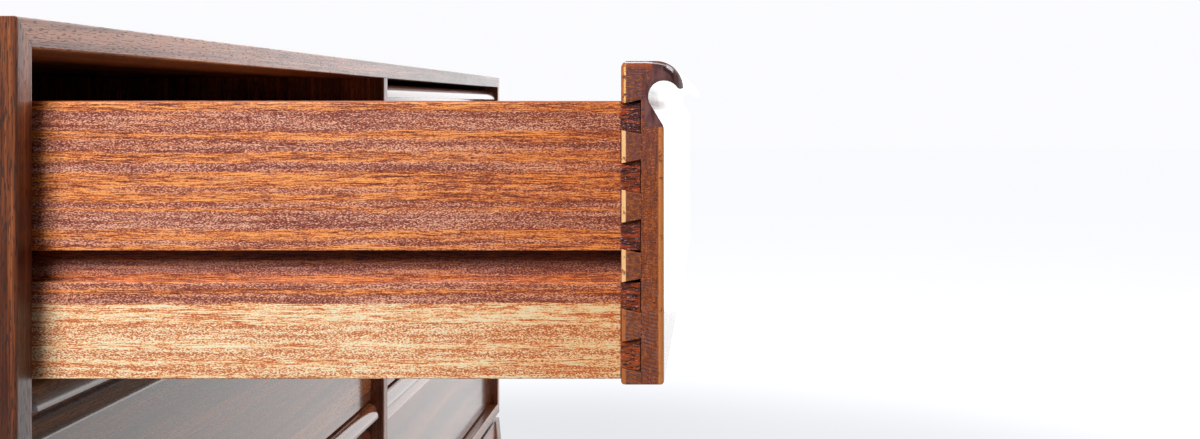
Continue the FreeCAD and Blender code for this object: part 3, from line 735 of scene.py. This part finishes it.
@dataclass(frozen=True)
class FrontFinish(WoodFinish):
    """Drawer fronts: saw-marked end grain, a dark carved lip, pale arrises that are partly worn
    and partly painted light.

    Heights are taken from the front's lower edge and depths from its outer face, in metres.
    """

    low: float = 0.0
    height: float = 0.1655
    outer: float = 0.0
    end: float = 0.0
    lip_arris: float = 0.0028
    lip_radius: float = 0.0137
    lip_back: float = 0.0040
    lip_foot: float = 0.1400
    cove_foot: float = 0.1325
    socket: float = 0.0115
    chamfer: float = 0.0192
    seam: float = 0.0215

    def ends(self, paint: Paint) -> Wire:
        """1 on the front's two ends, 0 on its faces."""
        return abs(paint.split(paint.facing)[0]).between(0.35, 0.6)

    def zones(self, paint: Paint) -> tuple[Wire, Wire, Wire]:
        """Where a point lies on the front.

        Args:
            paint: The material's graph.

        Returns:
            Height above the lower edge, depth behind the outer face, and 1 where the lip's dark
            stain reaches; on the faces a slight share of it is painted shade.
        """
        _, depth, height = paint.split(paint.place)
        level = height - self.low
        inward = depth - self.outer
        lip = level.between(self.lip_foot, self.lip_foot + 0.0025) * inward.between(0.0072, 0.0056)
        throat = level.between(self.cove_foot - 0.0010, self.cove_foot)
        throat = throat * level.between(0.1560, 0.1530) * inward.between(0.0106, 0.0088)
        return level, inward, lip.larger(throat)

    def polish(self, paint: Paint) -> Wire:
        """Polish of the outer faces and the lip; the cove has less near its end.

        Args:
            paint: The material's graph.

        Returns:
            1 polished, 0 as sawn.
        """
        level, inward, stain_and_shade = self.zones(paint)
        mask = self.ends(paint)
        throat = level.between(0.1580, 0.1490) * level.between(0.1280, 0.1440)
        near = (paint.split(paint.place)[0] - self.end).between(0.36, 0.0)
        dull = throat * inward.between(0.0030, 0.0080) * near * 0.9
        return ((1.0 - mask) * (1.0 - dull)).larger(stain_and_shade * mask)

    def rounding(self, paint: Paint) -> Socket:
        """Normal with its arrises softened, most on the upper part.

        Args:
            paint: The material's graph.

        Returns:
            The normal.
        """
        level, _, _ = self.zones(paint)
        return paint.mix(level.between(0.140, 0.144), paint.soft_edge(self.arris),
                         paint.soft_edge(self.lip_arris))

    def crown(self, paint: Paint, colour: Socket, level: Wire, inward: Wire) -> Socket:
        """Along the upper outline: a dark rim, a painted highlight line and crescent, a warm
        strip, and a dark band by the crescent.

        Args:
            paint: The material's graph.
            colour: Colour of the end so far.
            level: Height above the lower edge.
            inward: Depth behind the outer face.

        Returns:
            The colour with the outline worked in.
        """
        out = (self.lip_back - inward).larger(0.0)
        up = (level - self.height + self.lip_radius).larger(0.0)
        inset = self.lip_radius - (out * out + up * up).root()
        upper = level.between(0.1515, 0.1535)
        block = inward.between(0.0056, 0.0062)
        bend = inward.between(-0.0006, -0.0018) * inward.between(-0.0052, -0.0040)
        warm = inset.between(0.0008, 0.0014) * inset.between(0.0042, 0.0024)
        colour = paint.mix(warm * block * upper * 0.6, colour, rgb(182, 84, 28))
        rim = inset.between(0.0006, 0.0001) * upper
        colour = paint.mix(rim * 0.6, colour, rgb(74, 36, 40))
        deep = abs(inset - 0.0030).between(0.0018, 0.0006)
        deep = deep * inward.between(0.0012, -0.0002) * inward.between(-0.0056, -0.0044)
        colour = paint.mix(deep * upper * 0.75, colour, rgb(44, 22, 30))
        # Painted highlight: a near-white line just inside the rounded arris, widening to a
        # crescent at the lip's end, stands in for the arris's reflection.
        offset = inward.between(0.0100, 0.0020) * 0.0006 + 0.0007
        highlight_line = abs(inset - offset).between(0.00045, 0.00015)
        highlight_line = highlight_line * inward.between(-0.0040, -0.0020) * inward.between(0.0208, 0.0196)
        highlight_crescent = abs(inset - 0.0014).between(0.0010, 0.0005) * bend
        # pale carries the painted highlight of the line and the crescent.
        pale = (highlight_line * (block * 0.3 + 0.5)).larger(highlight_crescent * 0.95)
        return paint.mix(pale * upper, colour, rgb(255, 252, 255))

    def pin(self, inward: Wire) -> Wire:
        """1 on the pins, behind the tails' ends, and 0 in front of them."""
        return inward.between(self.socket - 0.0002, self.socket + 0.0003)

    def marks(self, paint: Paint, level: Wire, inward: Wire) -> tuple[Wire, Wire]:
        """What the saw and the chisel left on the end.

        Args:
            paint: The material's graph.
            level: Height above the lower edge.
            inward: Depth behind the outer face.

        Returns:
            Depth of the dark marks, and of the pale strokes near the foot, 0 to 1.
        """
        wander = paint.noise(inward * 120.0, level * 60.0, 5.0, 2.0) - 0.5
        slant = level.between(0.060, 0.045) * 0.27
        cross = level - inward * slant + wander * 0.0018
        pitch = level.between(0.062, 0.048) * -2400.0 + 5200.0
        fret = paint.noise(inward * 420.0, cross * 1100.0, 4.0, 1.5)
        patch = paint.noise(inward * 180.0, level * 130.0, 2.0, 2.0)
        saw = (cross * pitch).sine().between(-0.2, 0.7) * fret.between(0.38, 0.52)
        spots = (fret * 0.9 + patch * 0.7).between(0.84, 0.96) * 0.7
        dash = paint.noise(inward * 330.0, level * 1500.0, 14.0, 1.0, 0.5).between(0.43, 0.52)
        dab = paint.noise(inward * 420.0 + level * 260.0, level * 420.0 - inward * 150.0,
                          18.0, 2.0)
        dab = dab.between(0.48, 0.56) * self.pin(inward)
        top_part = level.between(0.128, 0.138).larger(level.between(0.105, 0.112) * 0.6)
        tick = paint.noise(inward * 360.0, cross * 1500.0, 21.0, 1.0, 0.5)
        dark = reduce(Wire.larger, (
            saw * level.between(0.045, 0.030), spots, dash * top_part,
            dab * 0.95 * level.between(0.138, 0.134), tick.between(0.46, 0.54) * 0.8))
        stroke = (cross * 3300.0).sine().between(0.1, 0.8) * fret.between(0.42, 0.54)
        return dark, stroke * level.between(0.064, 0.040) * patch.between(0.40, 0.50)

    def end_grain(self, paint: Paint, level: Wire, inward: Wire,
                  marks: tuple[Wire, Wire]) -> Socket:
        """Rings of the end grain, with the tools' marks, the scribed line and open pores.

        Args:
            paint: The material's graph.
            level: Height above the lower edge.
            inward: Depth behind the outer face.
            marks: The dark marks and the pale strokes.

        Returns:
            The colour socket.
        """
        dark, stroke = marks
        rings = paint.noise(inward * 560.0 + level * 30.0, level * 90.0, 6.0, 3.0, 0.65)
        speck = paint.noise(inward * 1500.0, level * 1300.0, 8.0, 1.0)
        cut = paint.ramp((rings * 0.55 + speck * 0.45).between(0.33, 0.67), (
            (0.0, rgb(116, 50, 24)), (0.4, rgb(152, 74, 30)), (0.75, rgb(180, 92, 38)),
            (1.0, rgb(208, 116, 52))))
        cut = paint.mix(self.pin(inward) * 0.3, cut, rgb(190, 108, 50))
        cool = paint.mix(level.between(0.100, 0.140), rgb(84, 52, 52), rgb(76, 56, 70))
        cut = paint.mix(dark * 0.78, cut, cool)
        cut = paint.mix(stroke * 0.65, cut, rgb(132, 106, 104))
        scribe = abs(inward - self.socket).between(0.0004, 0.0001) * level.between(0.1320, 0.1300)
        ragged = paint.noise(inward * 200.0, level * 700.0, 17.0, 2.0, 0.6).between(0.44, 0.56)
        cut = paint.mix(scribe * ragged * 0.75, cut, rgb(52, 30, 30))
        dot = paint.noise(inward * 900.0, level * 800.0, 12.0, 0.0).between(0.74, 0.80)
        return paint.mix(dot * 0.8, cut, rgb(50, 30, 26))

    def arrises(self, paint: Paint, cut: Socket, level: Wire, inward: Wire) -> Socket:
        """Pale arrises: a strip at the face, partly wear and partly painted light, with a dark
        rim; and the chamfer at the back, whose cream is a painted highlight.

        Args:
            paint: The material's graph.
            cut: Colour of the end so far.
            level: Height above the lower edge.
            inward: Depth behind the outer face.

        Returns:
            The colour with the arrises worked in.
        """
        grubby = paint.noise(inward * 300.0, level * 220.0, 11.0, 2.0)
        below_cove = level.between(self.cove_foot, self.cove_foot - 0.0015)
        # The strip on the rounded outer arris is partly wear and partly painted light from the
        # side.
        worn_lit_strip = inward.between(0.0034, 0.0022) * below_cove
        cut = paint.mix(worn_lit_strip * grubby.between(0.28, 0.42) * 0.92, cut, rgb(222, 138, 76))
        rim = inward.between(0.0006, 0.0001) * below_cove
        cut = paint.mix(rim * 0.6, cut, rgb(92, 48, 36))
        # Painted highlight: the chamfer glows cream on the upper pins and carries a bright line on
        # the block, standing in for a lamp's reflection.
        inner = inward.between(self.chamfer, self.chamfer + 0.0006) * level.between(0.1650, 0.1620)
        line = inward.between(self.chamfer, self.chamfer + 0.0004) * inward.between(0.0208, 0.0203)
        chamfer_highlight = paint.mix(level.between(0.040, 0.044), rgb(176, 102, 50), rgb(248, 198, 138))
        streak = paint.mix(line, rgb(190, 108, 54), rgb(252, 200, 116))
        chamfer_highlight = paint.mix(level.between(0.1405, 0.1415), chamfer_highlight, streak)
        cut = paint.mix(inner * grubby.between(0.34, 0.42) * 0.92, cut, chamfer_highlight)
        return paint.mix(inward.between(self.seam, self.seam + 0.0003) * 0.7, cut, rgb(70, 36, 28))

    def colour(self, paint: Paint, grain: Grain, shift: Vector) -> tuple[Socket, Wire, Wire]:
        """Colour of the bare wood.

        Args:
            paint: The material's graph.
            grain: Axis of the grain.
            shift: Offset of this board.

        Returns:
            Colour socket, raised grain and pits.
        """
        face, tone, pits = super().colour(paint, grain, shift)
        level, inward, stain_and_shade = self.zones(paint)
        mask = self.ends(paint)
        marks = self.marks(paint, level, inward)
        cut = self.arrises(paint, self.end_grain(paint, level, inward, marks), level, inward)
        colour = paint.mix(mask, face, cut)
        veil = paint.noise(inward * 200.0, level * 60.0, 15.0, 2.0, 0.6).between(0.34, 0.66)
        dark = paint.mix(veil, rgb(84, 50, 50), rgb(132, 92, 90))
        # On the ends the lip and throat take the dark stain; on the faces a slight share darkens
        # the lip and cove as painted shade.
        colour = paint.mix(stain_and_shade * (mask * 0.80 + 0.12), colour, dark)
        colour = paint.mix(mask, colour, self.crown(paint, colour, level, inward))
        faces = 1.0 - mask
        flat = mask * (1.0 - stain_and_shade)
        return colour, tone * faces, pits * faces * (1.0 - stain_and_shade) + marks[0] * flat * 0.6


@dataclass(frozen=True)
class MetalFinish:
    """Dull plated steel."""

    tint: Rgb = rgb(186, 184, 178)
    cloudy: Rgb = rgb(150, 146, 138)

    def material(self, name: str) -> bpy.types.Material:
        """Build the material.

        Args:
            name: The material's name.

        Returns:
            The finished material.
        """
        paint = Paint(name)
        x, y, z = paint.split(paint.place)
        cloud = paint.noise(x * 300.0, y * 300.0, z * 300.0, 3.0)
        paint.set(Base_Color=paint.mix(cloud.between(0.4, 0.7), self.tint, self.cloudy),
                  Metallic=1.0, Roughness=0.32 + cloud * 0.2)
        paint.bump(cloud, 0.00005, 0.3, paint.soft_edge(0.0002))
        return paint.material


@dataclass(frozen=True)
class NylonFinish:
    """Moulded glide."""

    tint: Rgb = rgb(46, 42, 40)
    scuffed: Rgb = rgb(62, 58, 54)

    def material(self, name: str) -> bpy.types.Material:
        """Build the material.

        Args:
            name: The material's name.

        Returns:
            The finished material.
        """
        paint = Paint(name)
        x, y, z = paint.split(paint.place)
        grit = paint.noise(x * 900.0, y * 900.0, z * 900.0, 2.0)
        paint.set(Base_Color=paint.mix(grit.between(0.3, 0.7), self.tint, self.scuffed),
                  Roughness=0.5 + grit * 0.2)
        paint.bump(grit, 0.0001, 0.3, paint.soft_edge(0.0003))
        return paint.material


def dress(node: bpy.types.Object, material: bpy.types.Material) -> None:
    """Give a piece its only material and report it.

    Args:
        node: The piece.
        material: Its material.
    """
    node.data.materials.clear()
    node.data.materials.append(material)
    log.info("%s wears %s", node.name, material.name)


@dataclass
class Drawer:
    """One drawer's five pieces. Each drawer's number sets its boards' offset in the timber."""

    nodes: dict[str, bpy.types.Object]
    row: str
    column: str
    number: int
    front_thickness: float = 0.022
    shoulder_gap: float = 0.0002
    board_step: tuple[float, float, float] = (0.37, 0.11, 0.05)
    mirror_step: float = 1.7

    @property
    def name(self) -> str:
        """Name of the drawer's body."""
        return f"drawer_{self.row}_{self.column}"

    def side(self, which: str, shoulder: float) -> SideFinish:
        """Finish of one side, fitted to its box.

        Args:
            which: Either left or right.
            shoulder: Depth at which the tails start.

        Returns:
            The finish.
        """
        low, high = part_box(f"{self.name}_side_{which}")
        return SideFinish(MAHOGANY, low=low.z, shoulder=shoulder, middle=(low.x + high.x) / 2.0,
                          gloss=0.36, shine=0.3, coat=0.0, grit=0.7)

    def finish(self) -> None:
        """Dress the drawer's pieces."""
        shift = Vector(self.board_step) * self.number
        low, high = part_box(f"{self.name}_front")
        shoulder = high.y + self.shoulder_gap
        front = FrontFinish(TEAK, streak=190.0, low=low.z, coat=0.0, extra=0.4, gloss=0.34,
                            outer=high.y - self.front_thickness, end=low.x)
        finishes = {
            "front": (front, "front", Grain.X, shift),
            "side_left": (self.side("left", shoulder), "left", Grain.Y, shift),
            "side_right": (self.side("right", shoulder), "right", Grain.Y,
                           shift * self.mirror_step),
            "back": (WoodFinish(MAHOGANY), "back", Grain.X, shift),
            "bottom": (WoodFinish(PINE, band=20.0, gloss=0.5, coat=0.3), "bottom", Grain.X,
                       shift),
        }
        for piece, (finish, word, grain, offset) in finishes.items():
            material = finish.material(f"{self.name}_{word}_wood", grain, offset)
            dress(self.nodes[f"{self.name}_{piece}"], material)
        log.info("%s dressed", self.name)


@dataclass
class Case:
    """Mitred case, its back panel, runners and screws."""

    nodes: dict[str, bpy.types.Object]

    def finish(self) -> None:
        """Dress the case's pieces."""
        board = WoodFinish(TEAK, streak=170.0, band=30.0)
        grains = {
            "case_top": Grain.X, "case_bottom": Grain.X, "case_side_left": Grain.Z,
            "case_side_right": Grain.Z, "case_partition": Grain.Z,
        }
        for number, (name, grain) in enumerate(grains.items()):
            shift = Vector((0.21 * number, 0.13 * number, 0.0))
            dress(self.nodes[name], board.material(f"{name}_wood", grain, shift))
        panel = WoodFinish(PINE, band=20.0, gloss=0.55, coat=0.2)
        dress(self.nodes["case_back"], panel.material("case_back_wood", Grain.X))
        runner = WoodFinish(BEECH, gloss=0.45, coat=0.3).material("runner_wood", Grain.Y)
        steel = MetalFinish().material("screw_steel")
        for name, node in self.nodes.items():
            if name.startswith("runners_"):
                dress(node, runner)
            elif name.endswith("_screws"):
                dress(node, steel)
        log.info("case dressed")


@dataclass
class LegFrame:
    """Legs, rails, blocks and glides."""

    nodes: dict[str, bpy.types.Object]

    def finish(self) -> None:
        """Dress the frame's pieces."""
        solid = WoodFinish(TEAK, streak=210.0)
        inner = WoodFinish(PINE, gloss=0.6, coat=0.0).material("block_wood", Grain.X)
        along = {
            Grain.Z: ("leg_front_left", "leg_front_right", "leg_back_left", "leg_back_right"),
            Grain.X: ("rail_front", "rail_back"),
            Grain.Y: ("rail_left", "rail_right", "frame_stretcher"),
        }
        for grain, names in along.items():
            for number, name in enumerate(names):
                shift = Vector((0.3 * number, 0.07 * number, 0.0))
                dress(self.nodes[name], solid.material(f"{name}_wood", grain, shift))
        for name in ("corner_blocks", "frame_spacers"):
            dress(self.nodes[name], inner)
        dress(self.nodes["foot_glides"], NylonFinish().material("glide_nylon"))
        log.info("leg frame dressed")


@dataclass(frozen=True)
class Lamp:
    """One soft rectangular lamp, its lengths in metres and its radiance in watts."""

    name: str
    place: tuple[float, float, float]
    aim: tuple[float, float, float]
    size: tuple[float, float]
    radiance: float
    reach: Reach = Reach.ALL

    def build(self) -> None:
        """Add the lamp to the scene."""
        light = bpy.data.lights.new(self.name, "AREA")
        light.shape = "RECTANGLE"
        light.size, light.size_y = self.size
        light.energy = self.radiance * math.pi * self.size[0] * self.size[1]
        lamp = bpy.data.objects.new(self.name, light)
        bpy.context.scene.collection.objects.link(lamp)
        lamp.location = self.place
        aim = Vector(self.aim) - Vector(self.place)
        lamp.rotation_euler = aim.to_track_quat("-Z", "Y").to_euler()
        lamp.visible_camera = False
        lamp.visible_diffuse = self.reach is not Reach.SHEEN
        lamp.visible_glossy = self.reach is not Reach.BODY


@dataclass
class Studio:
    """Floor, world, lamps and the camera at the photograph's place.

    Pixels are those of the photograph, and lengths are in metres. The camera stands distance
    before the drawer's front, before_inner_face in front of its inner face, and under_side_top
    under its side's upper edge.
    """

    focal_px: float = 1355.0
    frame_px: tuple[float, float] = (1200.0, 439.0)
    aim_px: tuple[float, float] = (714.0, 105.0)
    distance: float = 0.693
    before_inner_face: float = 0.0476
    under_side_top: float = 0.0021
    ambient: float = 0.09
    white: Rgb = (0.965, 0.97, 0.995)
    floor_near: Rgb = (0.70, 0.71, 0.735)
    floor_far: Rgb = (0.93, 0.94, 0.97)
    floor_colour: Rgb = (0.22, 0.22, 0.225)
    floor_size: float = 40.0
    lamps: tuple[Lamp, ...] = field(default_factory=lambda: (
        Lamp("key", (-2.12, 0.54, 2.32), (-0.74, -0.2, 0.64), (0.9, 0.9), 30.0),
        Lamp("front_fill", (0.6, -3.4, 1.7), (0.0, 0.0, 0.4), (2.4, 1.6), 6.0, Reach.BODY),
        Lamp("front_card", (0.6, -3.5, 1.7), (0.0, 0.0, 0.4), (2.6, 1.8), 1.3, Reach.SHEEN),
        Lamp("rear_card", (2.0, 3.5, 1.8), (0.0, 0.0, 0.4), (2.6, 1.8), 1.0, Reach.SHEEN),
        Lamp("rear_fill", (2.0, 3.4, 1.8), (0.0, 0.0, 0.4), (2.4, 1.6), 5.0, Reach.BODY),
        Lamp("back_card", (3.2, -1.6, 1.9), (-3.0, -1.6, 1.9), (8.0, 4.4), 1.0,
             Reach.SHEEN)))

    def camera(self) -> None:
        """Stand the camera square-on to the drawn-out drawer's left side."""
        low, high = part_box("drawer_top_left_front")
        _, side_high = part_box("drawer_top_left_side_left")
        data = bpy.data.cameras.new("camera")
        data.sensor_width = 36.0
        data.lens = self.focal_px / self.frame_px[0] * data.sensor_width
        data.shift_x = (self.frame_px[0] / 2.0 - self.aim_px[0]) / self.frame_px[0]
        data.shift_y = (self.aim_px[1] - self.frame_px[1] / 2.0) / self.frame_px[0]
        data.clip_start = 0.01
        data.clip_end = 60.0
        camera = bpy.data.objects.new("camera", data)
        bpy.context.scene.collection.objects.link(camera)
        camera.location = (low.x - self.distance, high.y - self.before_inner_face,
                           side_high.z - self.under_side_top)
        camera.rotation_euler = (math.pi / 2.0, 0.0, -math.pi / 2.0)
        bpy.context.scene.camera = camera

    def floor(self) -> None:
        """Lay a wide floor, nearly white to camera and reflections, clear from below."""
        bpy.ops.mesh.primitive_plane_add(size=self.floor_size, location=(0.0, 0.0, 0.0))
        floor = bpy.context.active_object
        floor.name = "floor"
        paint = Paint("floor_paint")
        rays = paint.node("ShaderNodeLightPath", {}, {})
        x, y, _ = paint.split(paint.place)
        mirrored = Wire(paint, rays.outputs["Is Glossy Ray"]) * x.between(-1.6, -0.6)
        seen = Wire(paint, rays.outputs["Is Camera Ray"]).larger(mirrored)
        away = (x * x + y * y).between(2.2, 5.0)
        glow = paint.mix(away, self.floor_near, self.floor_far)
        glow = paint.mix(mirrored, glow, WHITE)
        paint.set(Base_Color=self.floor_colour, Roughness=0.8, Specular_IOR_Level=0.0,
                  Emission_Color=paint.mix(seen, BLACK, glow), Emission_Strength=1.0)
        clear = paint.node("ShaderNodeBsdfTransparent", {}, {})
        under = paint.node("ShaderNodeNewGeometry", {}, {}).outputs["Backfacing"]
        blend = paint.node("ShaderNodeMixShader", {}, {
            0: under, 1: paint.shader.outputs[0], 2: clear.outputs[0]})
        paint.feed(paint.exit.inputs["Surface"], blend.outputs[0])
        dress(floor, paint.material)
        floor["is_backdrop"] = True

    def world(self) -> None:
        """White to the camera, plain soft light on the object."""
        world = bpy.data.worlds.new("studio")
        bpy.context.scene.world = world
        world.use_nodes = True
        sky = Graph(world.node_tree)
        rays = sky.node("ShaderNodeLightPath", {}, {})
        soft = sky.node("ShaderNodeBackground", {}, {0: self.white, 1: self.ambient})
        shown = sky.node("ShaderNodeBackground", {}, {0: self.white, 1: 1.0})
        toward = sky.node("ShaderNodeTexCoord", {}, {}).outputs["Generated"]
        rightward = sky.split(toward)[0].between(0.0, 0.3)
        mirrored = Wire(sky, rays.outputs["Is Glossy Ray"]) * rightward
        seen = Wire(sky, rays.outputs["Is Camera Ray"]).larger(mirrored)
        blend = sky.node("ShaderNodeMixShader", {}, {
            0: seen, 1: soft.outputs[0], 2: shown.outputs[0]})
        sky.node("ShaderNodeOutputWorld", {}, {"Surface": blend.outputs[0]})

    def build(self) -> None:
        """Set the whole studio up."""
        bpy.context.scene.view_settings.view_transform = "Standard"
        self.floor()
        self.world()
        for lamp in self.lamps:
            lamp.build()
        self.camera()
        log.info("studio ready")


def plain(bounds: Union[float, Iterable]) -> Union[float, list]:
    """Bounds as plain lists of numbers.

    Args:
        bounds: A number, or numbers nested to any depth.

    Returns:
        A number, or the same nest as lists.
    """
    if isinstance(bounds, (int, float)):
        return float(bounds)
    return [plain(part) for part in bounds]


def main() -> None:
    """Dress every piece and set the studio up."""
    logging.basicConfig(level=logging.INFO)
    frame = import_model()
    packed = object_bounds()
    bpy.ops.object.select_all(action="DESELECT")
    nodes = frame["nodes"]
    rows, columns = ("top", "middle", "bottom"), ("left", "right")
    places = [(row, column) for row in rows for column in columns]
    for number, (row, column) in enumerate(places):
        Drawer(nodes, row, column, number).finish()
    Case(nodes).finish()
    LegFrame(nodes).finish()
    Studio().build()
    {"packed": plain(packed), "visual": plain(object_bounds())}


if __name__ == "__main__":
    main()
